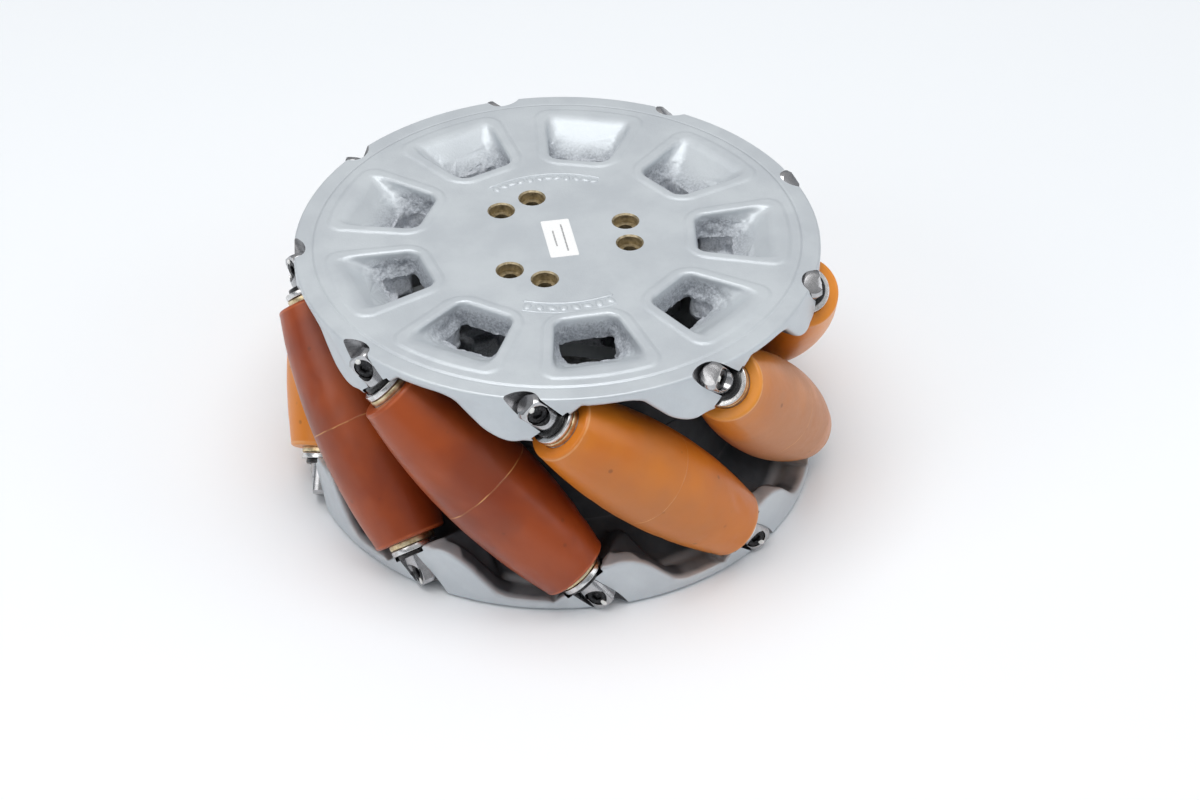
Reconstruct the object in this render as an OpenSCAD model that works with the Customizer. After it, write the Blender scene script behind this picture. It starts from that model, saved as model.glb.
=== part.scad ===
// Mecanum wheel lying on its flat back, spin axis along +Z, origin at the
// wheel's centre, +X through the middle of one pair of hub bolt holes.
// Two cast rims hold nine barrel rollers at 45 degrees.

/* [Wheel] */
// Diameter of the circle that the rollers run on
wheel_d = 250; // [248:1:260]
// Diameter of the two cast rims
rim_d = 233; // [232:0.5:234]
// Width over the two rim faces
wheel_w = 118.5; // [117.5:0.5:120]
// Number of rollers round the wheel
roller_count = 9; // [9:1:9]

/* [Rollers] */
// Largest diameter of a tread, at its middle
tread_d = 45; // [43:0.5:45]
// Diameter of a tread at its two ends
tread_end_d = 31.5; // [30:0.5:32]
// Length of a tread
tread_l = 114; // [110:1:114]
// Tilt of the roller axes from the wheel axis
roller_tilt = 45; // [45:1:45]
// Diameter of the roller axles
axle_d = 12; // [12:1:12]
// Length of the roller axles
axle_l = 156; // [154:1:156]

/* [Rims] */
// Depth of the lobes that hold the axle ends, from the rim's face
lobe_depth = 26.5; // [25:0.5:28]
// Thickness of the rim's edge between two lobes
edge_t = 4.7; // [4:0.1:6]
// Thickness of the hub plate
web_t = 12.5; // [11:0.5:14]
// Thickness of the machined pad behind the hub plate
pad_t = 3; // [2:0.5:4]
// Radius of the drum that joins the rims
drum_r = 76.8; // [74:0.2:76.8]
// Wall thickness of the drum
drum_t = 4.5; // [4:0.5:6]
// Diameter of the opening in the middle of the back rim
drive_opening_d = 100; // [90:1:104]

/* [Windows] */
// Radius of the windows' edge towards the hub
window_r_in = 61.5; // [60:0.5:64]
// Radius of the windows' edge towards the rim
window_r_out = 96; // [92:0.5:97]
// Half of the angle that a window spans
window_half = 12.1; // [10:0.1:13]

/* [Hub bolts] */
// Pitch circle of the six hub bolt holes
hub_pcd = 65; // [60:1:70]
// Half of the angle between the two holes of a pair
hub_pair_half = 15; // [15:1:15]
// Clearance hole for an M6 screw
hub_hole_d = 6.6; // [6.4:0.1:7]
// Counterbore for a low M6 screw head
hub_sink_d = 11; // [10.6:0.1:12]
// Depth of the counterbore
hub_sink_h = 5; // [4:0.5:6]

/* [Hidden] */
$fn = 64;
ring_fn = 144;
barrel_fn = 96;
arc_fn = 720;
cut = 0.5;                              // overshoot of a cutting shape
reach = 200;                            // cutting shapes that go right through

step = 360 / roller_count;              // angle from one roller to the next
roller_turn = 6.3;                      // middle of roller 1, from the hub holes
rim_r = rim_d / 2;
half_w = wheel_w / 2;
pitch_r = wheel_d / 2 - tread_d / 2;    // radius of the roller axes at their middle

// Roller, along its own axis
tread_half = tread_l / 2;
tread_drop = (tread_d - tread_end_d) / 2;
tread_arc_r = (tread_half * tread_half + tread_drop * tread_drop) / (2 * tread_drop);
tread_clear = 2.7;                      // gap between a tread and the castings
flange_t = 2.5;                         // flange of a bush
flange_r = 10.5;
bush_r = 9;
bush_l = 18;
bush_gap = 0.04;                        // running clearance on the axle
core_r = 13.5;                          // thick middle of the core
core_thick_half = 47;
washer_gap = 0.3;
washer_t = 2.5;
washer_in = tread_half + flange_t + washer_gap;
boss_z = washer_in + washer_t - 0.4;    // face of the lobe beside the washer
sink_z = washer_in + washer_t + 2.1;    // bottom of the washer's counterbore
sink_r = flange_r + 0.9;
seal_r = 8.3;

// Axle ends
axle_r = axle_d / 2;
axle_half = axle_l / 2;
axle_chamfer = 1.5;
seat_gap = 0.05;                        // axle in the groove of its lobe
screw_z = 72;                           // clamp screw, from the roller's middle
flat_x = 3.2;                           // milled flat, above the axle's axis
flat_from = screw_z - 1;
screw_r = 2.5;
screw_head_r = 4.25;
screw_head_h = 3.4;
screw_sink_r = 4.7;
screw_tip_x = -16;
hex_r = 2.3;
groove_l = 45;                          // groove in a lobe, past the boss's face
groove_h = 30;

// Rims
lobe_side_y = 31;                       // side of a lobe, parallel to the roller before it
trough_half_x = 40;
boss_low_y = -26;
boss_half_y = 12.5;
boss_in_x = 28;                         // block behind an axle end, inwards
boss_out_x = 32;                        // and outwards from the axle
boss_l = 30;
sink_lead = 8;                          // counterbore tool, in front of the boss
wall_t = 10;                            // lobe wall
cone_r = 100;                           // where the cone meets the rim's edge
cone_h = 24;                            // depth at which the cone meets the drum
web_drop = 6;                           // slope under the web, beside the drum
drum_in_r = drum_r - drum_t;
pad_r = 44;
window_turn = -10.7;                    // window centre, from its roller's centre
window_floor_r_in = 63.5;
window_floor_r_out = 78;
window_floor_half_w = 12;
window_corner = 5;
window_half_w = 22;                     // at the face, before its outline trims it
window_lip = 1;                         // square edge at the face and at the floor
window_step = 4;                        // upright wall towards the hub, over the floor
window_lead = 8;                        // floor opening, past the web
window_wall_t = 4.5;                    // walls beside the opening, behind the web
window_wall_h = 10.5;
window_wall_out = 74.5;                 // their foot, inside the drum's wall
hub_pairs = 3;
hub_chamfer = 0.8;

// Rim joint, inside the drum
joint_count = 6;
joint_r = 64.5;
joint_boss_r = 8.5;
joint_boss_h = 13;
joint_turn = 30;                        // from the middle of roller 1
joint_screw_r = 3;
joint_head_r = 5;
joint_head_h = 6;
joint_thread_h = 11;
joint_hex_r = 2.9;
dowel_count = 3;
dowel_r = 3;
dowel_h = 8;
dowel_turn = 60;                        // from the middle of roller 1

// Label
label_l = 28.3;
label_w = 12.7;
label_t = 0.2;
label_at = [0.98, -1.6];
label_turn = -85.7;

// Colours
paint_c = [0.78, 0.81, 0.83];
steel_c = [0.70, 0.71, 0.72];
black_c = [0.16, 0.16, 0.17];
seal_c = [0.10, 0.10, 0.10];
bronze_c = [0.78, 0.62, 0.38];
core_c = [0.72, 0.73, 0.75];
tread_c = [0.80, 0.46, 0.18];
old_tread_c = [0.50, 0.22, 0.12];

tread_old = [false, false, false, false, false, true, true, false, false];

// ---------------------------------------------------------------- helpers

// Puts a roller's own axis along local Z, with local X pointing outwards
module on_roller(k) {
  rotate([0, 0, roller_turn + step * (k - 1)]) translate([pitch_r, 0, 0])
    rotate([roller_tilt, 0, 0]) children();
}

module on_every_roller() {
  for (k = [1 : roller_count]) on_roller(k) children();
}

// Turns a part of the outer rim over into its place on the inner rim
module turned_over() {
  rotate([0, 0, 2 * roller_turn]) rotate([180, 0, 0]) children();
}

// Children at both ends of a roller, the second turned end for end
module both_ends() {
  children();
  rotate([180, 0, 0]) children();
}

module ring(r_in, r_out, h) {
  difference() {
    cylinder(r = r_out, h = h);
    translate([0, 0, -cut]) cylinder(r = r_in, h = h + 2 * cut);
  }
}

// Half of a barrel's outline: its flank is an arc of a large circle
module barrel_outline(mid_r, half_l, arc_r) {
  intersection() {
    translate([mid_r - arc_r, 0]) circle(r = arc_r, $fn = arc_fn);
    translate([0, -half_l]) square([mid_r + cut, 2 * half_l]);
  }
}

module barrel(mid_r, half_l, arc_r) {
  rotate_extrude($fn = barrel_fn) barrel_outline(mid_r, half_l, arc_r);
}

function arc_points(x, y, r, from, to, n = 8) =
  [for (i = [0 : n]) let (a = from + (to - from) * i / n) [x + r * cos(a), y + r * sin(a)]];

// ---------------------------------------------------------------- rollers

module tread(k) {
  color(tread_old[k - 1] ? old_tread_c : tread_c)
    on_roller(k) difference() {
      barrel(tread_d / 2, tread_half, tread_arc_r);
      core_solid(cut);
    }
}

// Outside of the core, made longer by extra at both ends
module core_solid(extra = 0) {
  cylinder(r = core_r, h = 2 * core_thick_half, center = true);
  cylinder(r = flange_r, h = tread_l + 2 * extra, center = true);
}

module core(k) {
  color(core_c) on_roller(k) difference() {
    core_solid();
    cylinder(r = bush_r, h = tread_l + 2 * cut, center = true);
  }
}

module bushes(k) {
  color(bronze_c) on_roller(k) both_ends() {
    translate([0, 0, tread_half - bush_l]) ring(axle_r + bush_gap, bush_r, bush_l);
    translate([0, 0, tread_half]) ring(axle_r + bush_gap, flange_r, flange_t);
  }
}

// ---------------------------------------------------------------- axles

// Outline of an axle from its middle to its chamfered tip
module axle_solid() {
  rotate_extrude() polygon([
    [0, -axle_half], [axle_r - axle_chamfer, -axle_half], [axle_r, axle_chamfer - axle_half],
    [axle_r, axle_half - axle_chamfer], [axle_r - axle_chamfer, axle_half], [0, axle_half]]);
}

module axle_end_cuts() {
  translate([flat_x, -axle_r - cut, flat_from]) cube([axle_r, axle_d + 2 * cut, axle_half]);
  translate([flat_x - screw_head_h, 0, screw_z]) rotate([0, 90, 0]) cylinder(r = screw_sink_r, h = axle_d);
  translate([-axle_d, 0, screw_z]) rotate([0, 90, 0]) cylinder(r = screw_r, h = 2 * axle_d);
}

module axle(k) {
  color(steel_c) on_roller(k) difference() {
    axle_solid();
    both_ends() axle_end_cuts();
  }
}

module axle_screws() {
  color(black_c) on_every_roller() both_ends()
    translate([0, 0, screw_z]) rotate([0, 90, 0]) difference() {
      union() {
        translate([0, 0, screw_tip_x]) cylinder(r = screw_r, h = flat_x - screw_head_h - screw_tip_x);
        translate([0, 0, flat_x - screw_head_h]) cylinder(r = screw_head_r, h = screw_head_h);
      }
      translate([0, 0, flat_x - screw_head_h / 2]) cylinder(r = hex_r, h = screw_head_h, $fn = 6);
    }
}

module thrust_washers() {
  color(steel_c) on_every_roller() both_ends()
    translate([0, 0, washer_in]) ring(axle_r + seat_gap, flange_r, washer_t);
}

module shaft_seals() {
  color(seal_c) on_every_roller() both_ends()
    translate([0, 0, washer_in + washer_t]) ring(axle_r + seat_gap, seal_r, sink_z - washer_in - washer_t);
}

// ---------------------------------------------------------------- rims

// Web, cone and drum of a rim, in section
module rim_body(opening_r) {
  top = half_w;
  under = half_w - web_t;
  rotate_extrude($fn = ring_fn) polygon([
    [opening_r, top], [rim_r, top], [rim_r, top - edge_t], [cone_r, top - edge_t],
    [drum_r, half_w - cone_h], [drum_r, 0], [drum_in_r, 0], [drum_in_r, under - web_drop],
    [window_floor_r_out, under], [opening_r, under]]);
}

// Everything under the rim's edge that a roller and its trough take away
module trough() {
  intersection() {
    translate([-trough_half_x, boss_low_y, -boss_z])
      cube([2 * trough_half_x, lobe_side_y - boss_low_y, 2 * boss_z]);
    rotate([-roller_tilt, 0, 0]) translate([-reach, -reach, -reach])
      cube([2 * reach, 2 * reach, reach + half_w - edge_t]);
  }
}

// Wall of lobes, with a block behind each axle end
module lobes() {
  difference() {
    union() {
      translate([0, 0, half_w - lobe_depth])
        difference() {
          cylinder(r = rim_r, h = lobe_depth, $fn = ring_fn);
          translate([0, 0, -cut]) cylinder(r = rim_r - wall_t, h = lobe_depth + 2 * cut, $fn = ring_fn);
        }
      intersection() {
        on_every_roller() translate([-boss_in_x, -boss_half_y, boss_z])
          cube([boss_in_x + boss_out_x, 2 * boss_half_y, boss_l]);
        translate([0, 0, half_w - lobe_depth]) cylinder(r = rim_r, h = lobe_depth, $fn = ring_fn);
      }
    }
    on_every_roller() trough();
  }
}

// Groove, washer seat and thread for one axle end
module axle_seat() {
  translate([0, 0, boss_z - cut]) cylinder(r = axle_r + seat_gap, h = groove_l);
  translate([0, -axle_r - seat_gap, boss_z - cut]) cube([groove_h, 2 * (axle_r + seat_gap), groove_l]);
  translate([0, 0, boss_z - sink_lead]) cylinder(r = sink_r, h = sink_z - boss_z + sink_lead);
  translate([screw_tip_x - cut, 0, screw_z]) rotate([0, 90, 0]) cylinder(r = screw_r, h = -screw_tip_x);
}

// Window outline at the face: radial sides and rounded corners
module window_outline() {
  r1 = window_r_in + window_corner;
  r2 = window_r_out - window_corner;
  a1 = window_half - asin(window_corner / r1);
  a2 = window_half - asin(window_corner / r2);
  c1 = [r1 * cos(a1), r1 * sin(a1)];
  c2 = [r2 * cos(a2), r2 * sin(a2)];
  q = window_corner;
  polygon(concat(
    arc_points(c1[0], -c1[1], q, 180, 270 - window_half),
    arc_points(c2[0], -c2[1], q, 270 - window_half, 360),
    arc_points(c2[0], c2[1], q, 0, 90 + window_half),
    arc_points(c1[0], c1[1], q, 90 + window_half, 180)));
}

// A window narrows from its outline to a slot through the web; the slope is
// longest on the side towards the rim
module window() {
  under = half_w - web_t;
  bottom = under - window_lead;
  top = half_w + window_lip;
  intersection() {
    translate([0, 0, bottom]) linear_extrude(reach) window_outline();
    rotate([90, 0, 0]) linear_extrude(reach, center = true) polygon([
      [window_floor_r_in, bottom], [window_floor_r_out, bottom],
      [window_floor_r_out, under + window_lip], [window_r_out, half_w],
      [window_r_out, top], [window_r_in - window_lip, top],
      [window_r_in - window_lip, half_w - window_lip],
      [window_floor_r_in, under + window_step]]);
    rotate([90, 0, 90]) linear_extrude(reach) polygon([
      [-window_floor_half_w, bottom], [window_floor_half_w, bottom],
      [window_floor_half_w, under + window_lip], [window_half_w, top], [-window_half_w, top],
      [-window_floor_half_w, under + window_lip]]);
  }
}

// Walls behind the web, either side of a window's opening
module window_walls() {
  under = half_w - web_t;
  for (side = [-1, 1])
    translate([0, side * (window_floor_half_w + window_wall_t / 2), 0])
      rotate([90, 0, 0]) linear_extrude(window_wall_t, center = true) polygon([
        [window_floor_r_in, under - window_wall_h], [window_wall_out, under - window_wall_h],
        [window_floor_r_out + cut, under + cut], [window_floor_r_in, under + cut]]);
}

module on_every_window() {
  for (k = [1 : roller_count])
    rotate([0, 0, roller_turn + step * (k - 1) + window_turn]) children();
}

module hub_holes() {
  for (p = [0 : hub_pairs - 1], side = [-1, 1])
    rotate([0, 0, 360 / hub_pairs * p + side * hub_pair_half])
      translate([hub_pcd / 2, 0, 0]) {
        cylinder(d = hub_hole_d, h = reach);
        translate([0, 0, half_w - hub_sink_h]) cylinder(d = hub_sink_d, h = reach);
        translate([0, 0, half_w - hub_chamfer])
          cylinder(d1 = hub_sink_d, d2 = hub_sink_d + 4 * hub_chamfer, h = 2 * hub_chamfer);
      }
}

module rim_casting(opening_r) {
  difference() {
    union() {
      rim_body(opening_r);
      lobes();
      on_every_window() window_walls();
      on_joint() cylinder(r = joint_boss_r, h = joint_boss_h);
      on_dowel() cylinder(r = joint_boss_r, h = joint_boss_h);
    }
    on_every_roller() {
      barrel(tread_d / 2 + tread_clear, boss_z, tread_arc_r);
      axle_seat();
    }
    on_every_window() window();
    on_dowel() translate([0, 0, -cut]) cylinder(r = dowel_r, h = dowel_h + cut);
  }
}

module on_joint() {
  for (j = [0 : joint_count - 1])
    rotate([0, 0, roller_turn + 360 / joint_count * j + joint_turn])
      translate([joint_r, 0, 0]) children();
}

module on_dowel() {
  for (j = [0 : dowel_count - 1])
    rotate([0, 0, roller_turn + 360 / dowel_count * j + dowel_turn])
      translate([joint_r, 0, 0]) children();
}

module outer_rim() {
  color(paint_c) difference() {
    union() {
      rim_casting(0);
      translate([0, 0, half_w - web_t - pad_t]) cylinder(r = pad_r, h = pad_t + cut, $fn = ring_fn);
    }
    hub_holes();
    on_joint() translate([0, 0, -cut]) cylinder(r = joint_screw_r, h = joint_thread_h + cut);
  }
}

module inner_rim() {
  color(paint_c) turned_over() difference() {
    rim_casting(drive_opening_d / 2);
    on_joint() translate([0, 0, -cut]) cylinder(r = joint_screw_r, h = joint_boss_h + 2 * cut);
  }
}

// Locating pins across the joint of the two rims
module rim_dowels() {
  color(steel_c) on_dowel() cylinder(r = dowel_r, h = 2 * dowel_h, center = true);
}

module rim_screws() {
  color(black_c) turned_over() on_joint() difference() {
    union() {
      translate([0, 0, -joint_thread_h]) cylinder(r = joint_screw_r, h = joint_thread_h + joint_boss_h);
      translate([0, 0, joint_boss_h]) cylinder(r = joint_head_r, h = joint_head_h);
    }
    translate([0, 0, joint_boss_h + joint_head_h / 2]) cylinder(r = joint_hex_r, h = joint_head_h, $fn = 6);
  }
}

module hub_label() {
  color("white") translate([label_at[0], label_at[1], half_w]) rotate([0, 0, label_turn])
    translate([-label_l / 2, -label_w / 2, 0]) cube([label_l, label_w, label_t]);
}

// ---------------------------------------------------------------- pieces

outer_rim();
inner_rim();
hub_label();
rim_screws();
rim_dowels();
axle_screws();
thrust_washers();
shaft_seals();
axle(1);  // axle_1
axle(2);  // axle_2
axle(3);  // axle_3
axle(4);  // axle_4
axle(5);  // axle_5
axle(6);  // axle_6
axle(7);  // axle_7
axle(8);  // axle_8
axle(9);  // axle_9
tread(1);  // roller_1_tread
core(1);  // roller_1_core
bushes(1);  // roller_1_bushes
tread(2);  // roller_2_tread
core(2);  // roller_2_core
bushes(2);  // roller_2_bushes
tread(3);  // roller_3_tread
core(3);  // roller_3_core
bushes(3);  // roller_3_bushes
tread(4);  // roller_4_tread
core(4);  // roller_4_core
bushes(4);  // roller_4_bushes
tread(5);  // roller_5_tread
core(5);  // roller_5_core
bushes(5);  // roller_5_bushes
tread(6);  // roller_6_tread
core(6);  // roller_6_core
bushes(6);  // roller_6_bushes
tread(7);  // roller_7_tread
core(7);  // roller_7_core
bushes(7);  // roller_7_bushes
tread(8);  // roller_8_tread
core(8);  // roller_8_core
bushes(8);  // roller_8_bushes
tread(9);  // roller_9_tread
core(9);  // roller_9_core
bushes(9);  // roller_9_bushes
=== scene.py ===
"""Looks for the mecanum wheel: two cast rims, nine worn rollers, clamped axle ends and a white studio.

Sizes are in millimetres in the wheel's own frame (spin axis +Z, origin at the wheel's centre) and become
metres in add().
"""

import math

import bmesh
import bpy
import numpy as np
from mathutils import Matrix, Vector, noise


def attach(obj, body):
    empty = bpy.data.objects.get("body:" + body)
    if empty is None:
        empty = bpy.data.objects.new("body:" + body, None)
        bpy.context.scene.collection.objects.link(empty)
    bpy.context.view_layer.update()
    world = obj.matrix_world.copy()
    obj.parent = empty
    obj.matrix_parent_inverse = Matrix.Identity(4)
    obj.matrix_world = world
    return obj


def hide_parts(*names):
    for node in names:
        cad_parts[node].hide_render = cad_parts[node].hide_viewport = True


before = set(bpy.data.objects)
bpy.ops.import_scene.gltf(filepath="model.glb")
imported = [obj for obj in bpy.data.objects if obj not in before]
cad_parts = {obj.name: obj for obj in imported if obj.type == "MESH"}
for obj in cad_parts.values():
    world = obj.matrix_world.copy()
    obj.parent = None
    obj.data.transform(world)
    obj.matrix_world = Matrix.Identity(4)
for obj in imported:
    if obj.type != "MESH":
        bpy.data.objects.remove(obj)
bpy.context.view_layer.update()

# ---------------------------------------------------------------- sizes, as in the CAD part

# the rims
TOP = 59.25  # top of the pads round the windows, half of the wheel's width
FACE = 58.65  # plain face of the hub plate
UNDER = 46.75  # underside of the hub plate
RIM_R = 116.5
RIM_EDGE_Z = 54.55  # underside of the rim's edge
LIP_R = 108.3  # a shallow step round the face
DRUM_R = 76.8
HOLLOW_R = 72.3
CONE_R, CONE_COS, CONE_SIN = 100.0, 0.6395, 0.7687  # outside of the cone from the drum to the rim's edge
LOBE_Z = 32.75
LOBE_R = 106.8

# the windows, each with its middle on u and its width along v
WINDOW_TURN = -10.7
WINDOW_ANGLE = 12.1
WINDOW_IN, WINDOW_OUT, WINDOW_HALF = 62.9, 78.3, 11.6  # at the pocket's floor
SLOT_IN, SLOT_OUT, SLOT_HALF = 63.0, 78.0, 12.0  # the opening through the floor
PAD_IN, PAD_OUT = 56.8, 103.0
WALL_V, WALL_HALF = 14.25, 2.25  # walls behind the plate, either side of a window's opening
WALL_IN, WALL_LOW_Z, WALL_OUT = 63.6, 36.3, 74.5

# rollers and axles, along the roller's own axis
COUNT = 9
STEP = 40.0
TURN = 6.3
PITCH = 102.5
SLANT = 45.0
TREAD_HALF = 57.0
TREAD_R = 22.5
TREAD_END_R = 15.75
ARC_R = (TREAD_HALF**2 + (TREAD_R - TREAD_END_R) ** 2) / (2 * (TREAD_R - TREAD_END_R))
BORE_R = 10.56
BOSS_Z = 61.9  # face of a lobe's boss
GROOVE_Z = 61.4
SINK_Z, SINK_R = 64.4, 11.4  # floor and radius of the counterbore for washer and seal
AXLE_R = 6.0
AXLE_HALF = 78.0
AXLE_FLAT_X = 3.2
SCREW_Z = 72.0

# the hub and the joint of the two rims
HUB_HOLES_R = 32.5
MOUTH_R = 50.0
JOINT_R = 64.5
MARKS_Z = FACE - 0.3


def axle_frame(deg):
    """The frame of a roller at deg round the wheel: local Z is its axis, and local X points outwards."""
    out = Matrix.Rotation(math.radians(deg), 4, "Z") @ Matrix.Translation((PITCH, 0, 0))
    return out @ Matrix.Rotation(math.radians(SLANT), 4, "X")


def roller_frame(k):
    """The frame of roller k, from 1 to 9."""
    return axle_frame(TURN + STEP * (k - 1))


FLIP = Matrix.Rotation(math.pi, 4, "X")
TO_OUTER = Matrix.Rotation(math.radians(TURN), 4, "Z")
TO_INNER = TO_OUTER @ FLIP

# ---------------------------------------------------------------- mesh helpers

MM = 0.001
LOCAL = "lp"  # the attribute that holds each vertex's place in its own frame


def place(name, data):
    """A new object in the scene, for a mesh, a lamp or a camera."""
    o = bpy.data.objects.new(name, data)
    bpy.context.scene.collection.objects.link(o)
    return o


def obj_from(name, verts, faces):
    me = bpy.data.meshes.new(name)
    me.from_pydata([tuple(v) for v in verts], [], [tuple(f) for f in faces])
    me.update()
    return place(name, me)


def obj_of(name, bm, materials):
    """An object of a finished bmesh, which it frees."""
    me = bpy.data.meshes.new(name)
    bm.to_mesh(me)
    bm.free()
    for m in materials:
        me.materials.append(m)
    return place(name, me)


def points_of(me):
    co = np.empty(len(me.vertices) * 3)
    me.vertices.foreach_get("co", co)
    return co.reshape(-1, 3)


def lathe(profile, n):
    """Verts and faces of a closed outline of (radius, z), run round local Z. A radius of 0 makes a pole."""
    verts, rows = [], []
    for r, z in profile:
        if r < 1e-9:
            rows.append([len(verts)] * n)
            verts.append((0, 0, z))
        else:
            rows.append(list(range(len(verts), len(verts) + n)))
            angles = [2 * math.pi * i / n for i in range(n)]
            verts += [(r * math.cos(t), r * math.sin(t), z) for t in angles]
    faces = []
    for a, b in zip(rows, rows[1:] + rows[:1]):
        for i in range(n):
            j = (i + 1) % n
            f = []
            for v in (a[i], a[j], b[j], b[i]):
                if v not in f:
                    f.append(v)
            if len(f) > 2:
                faces.append(f)
    return verts, faces


def rounded(points, radii, n):
    """A closed outline with each corner rounded by its radius, in n steps."""
    out = []
    m = len(points)
    for i, (p, r) in enumerate(zip(points, radii)):
        p, a, b = np.array(p, float), np.array(points[i - 1], float), np.array(points[(i + 1) % m], float)
        if r <= 0:
            out.append(tuple(p))
            continue
        u, v = (a - p) / np.linalg.norm(a - p), (b - p) / np.linalg.norm(b - p)
        half = math.acos(max(-1, min(1, float(u @ v)))) / 2
        d = r / math.tan(half)
        c = p + (u + v) / np.linalg.norm(u + v) * r / math.sin(half)
        s, e = p + u * d - c, p + v * d - c
        a0, a1 = math.atan2(s[1], s[0]), math.atan2(e[1], e[0])
        a1 += 2 * math.pi * round((a0 - a1) / (2 * math.pi))
        angles = [a0 + (a1 - a0) * t / n for t in range(n + 1)]
        out += [tuple(c + r * np.array((math.cos(t), math.sin(t)))) for t in angles]
    return out


def clean(o, merge=1e-4):
    """Turns all faces outwards, after joining points that are closer than merge."""
    bm = bmesh.new()
    bm.from_mesh(o.data)
    if merge:
        bmesh.ops.remove_doubles(bm, verts=bm.verts, dist=merge)
    bmesh.ops.recalc_face_normals(bm, faces=bm.faces)
    bm.to_mesh(o.data)
    bm.free()
    return o


def apply_mods(o):
    """Replaces the object's mesh with the result of its modifiers."""
    dg = bpy.context.evaluated_depsgraph_get()
    me = bpy.data.meshes.new_from_object(o.evaluated_get(dg))
    o.modifiers.clear()
    old, o.data = o.data, me
    bpy.data.meshes.remove(old)
    return o


def boolean(o, cutter, op="DIFFERENCE"):
    m = o.modifiers.new("b", "BOOLEAN")
    m.operation, m.object, m.solver = op, cutter, "MANIFOLD"
    apply_mods(o)
    bpy.data.objects.remove(cutter)
    return o


def bevel(o, width, segments, angle):
    m = o.modifiers.new("e", "BEVEL")
    m.width, m.segments, m.limit_method, m.angle_limit = width, segments, "ANGLE", math.radians(angle)
    return apply_mods(o)


def block(name, lo, hi):
    x0, y0, z0 = lo
    x1, y1, z1 = hi
    v = [(x, y, z) for z in (z0, z1) for y in (y0, y1) for x in (x0, x1)]
    f = [(0, 2, 3, 1), (4, 5, 7, 6), (0, 1, 5, 4), (2, 6, 7, 3), (0, 4, 6, 2), (1, 3, 7, 5)]
    return clean(obj_from(name, v, f))


def set_local(me):
    """Keeps each vertex's place in its own frame, in millimetres, for the materials."""
    a = me.attributes.new(LOCAL, "FLOAT_VECTOR", "POINT")
    a.data.foreach_set("vector", points_of(me).astype(np.float32).ravel())


def copies(name, source, frames):
    """One object made of copies of a mesh, each in its own frame."""
    bm = bmesh.new()
    set_local(source)
    for m in frames:
        part = source.copy()
        part.transform(m)
        bm.from_mesh(part)
        bpy.data.meshes.remove(part)
    return obj_of(name, bm, source.materials)


def smooth(me, angle):
    me.polygons.foreach_set("use_smooth", [True] * len(me.polygons))
    me.set_sharp_from_angle(angle=math.radians(angle))


def add(o, body, nodes=(), mats=(), angle=35):
    """Turns a finished piece from millimetres to metres and puts it on its body."""
    if mats:
        o.data.materials.clear()
        for m in mats:
            o.data.materials.append(m)
    o.data.transform(Matrix.Scale(MM, 4))
    if angle:
        smooth(o.data, angle)
    o.data.update()
    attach(o, body)
    if nodes:
        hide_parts(*nodes)
    return o


# ---------------------------------------------------------------- material helpers


class Nodes:
    """A short way to write a node tree."""

    def __init__(self, name):
        self.mat = bpy.data.materials.new(name)
        self.mat.use_nodes = True
        self.t = self.mat.node_tree
        self.t.nodes.clear()
        self.out = self.t.nodes.new("ShaderNodeOutputMaterial")
        self.bsdf = self.t.nodes.new("ShaderNodeBsdfPrincipled")
        self.t.links.new(self.bsdf.outputs[0], self.out.inputs[0])

    def put(self, socket, value):
        if isinstance(value, bpy.types.NodeSocket):
            self.t.links.new(value, socket)
        elif value is not None:
            if isinstance(value, (tuple, list)) and len(value) == 3 and socket.type == "RGBA":
                value = (*value, 1)
            socket.default_value = value

    def set(self, **kw):
        for k, v in kw.items():
            self.put(self.bsdf.inputs[k.replace("_", " ")], v)

    def node(self, kind, out=0, props=None, **inputs):
        """A new node's output. An input is named, or numbered as i0, i1."""
        n = self.t.nodes.new(kind)
        for k, v in (props or {}).items():
            setattr(n, k, v)
        for k, v in inputs.items():
            numbered = k[0] == "i" and k[1:].isdigit()
            self.put(n.inputs[int(k[1:]) if numbered else k.replace("_", " ")], v)
        return n.outputs[out]

    def local(self):
        return self.node("ShaderNodeAttribute", 1, {"attribute_name": LOCAL})

    def math(self, op, a, b=None):
        return self.node("ShaderNodeMath", 0, {"operation": op}, i0=a, i1=b)

    def mul(self, *factors):
        """The product of two or more values."""
        out = factors[0]
        for f in factors[1:]:
            out = self.math("MULTIPLY", out, f)
        return out

    def plus(self, a, b):
        return self.math("ADD", a, b)

    def minus(self, a, b):
        return self.math("SUBTRACT", a, b)

    def most(self, a, b):
        return self.math("MAXIMUM", a, b)

    def size(self, a):
        return self.math("ABSOLUTE", a)

    def stretch(self, vec, by):
        return self.node("ShaderNodeVectorMath", 0, {"operation": "MULTIPLY"}, i0=vec, i1=by)

    def noise(self, vec, scale, detail=3, rough=0.55):
        return self.node("ShaderNodeTexNoise", Vector=vec, Scale=scale, Detail=detail, Roughness=rough)

    def ramp(self, x, lo, hi, a=0.0, b=1.0):
        """x from lo to hi becomes a to b, eased."""
        span = {"From_Min": lo, "From_Max": hi, "To_Min": a, "To_Max": b}
        return self.node("ShaderNodeMapRange", 0, {"interpolation_type": "SMOOTHSTEP"}, Value=x, **span)

    def mix(self, fac, a, b):
        n = self.t.nodes.new("ShaderNodeMix")
        n.data_type = "RGBA"
        self.put(n.inputs[0], fac)
        self.put(n.inputs[6], a)
        self.put(n.inputs[7], b)
        return n.outputs[2]

    def mixf(self, fac, a, b):
        n = self.t.nodes.new("ShaderNodeMix")
        self.put(n.inputs[0], fac)
        self.put(n.inputs[2], a)
        self.put(n.inputs[3], b)
        return n.outputs[0]

    def split(self, vec):
        n = self.t.nodes.new("ShaderNodeSeparateXYZ")
        self.put(n.inputs[0], vec)
        return n.outputs

    def bump(self, height, strength, distance):
        return self.node("ShaderNodeBump", Height=height, Strength=strength, Distance=distance)


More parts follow.
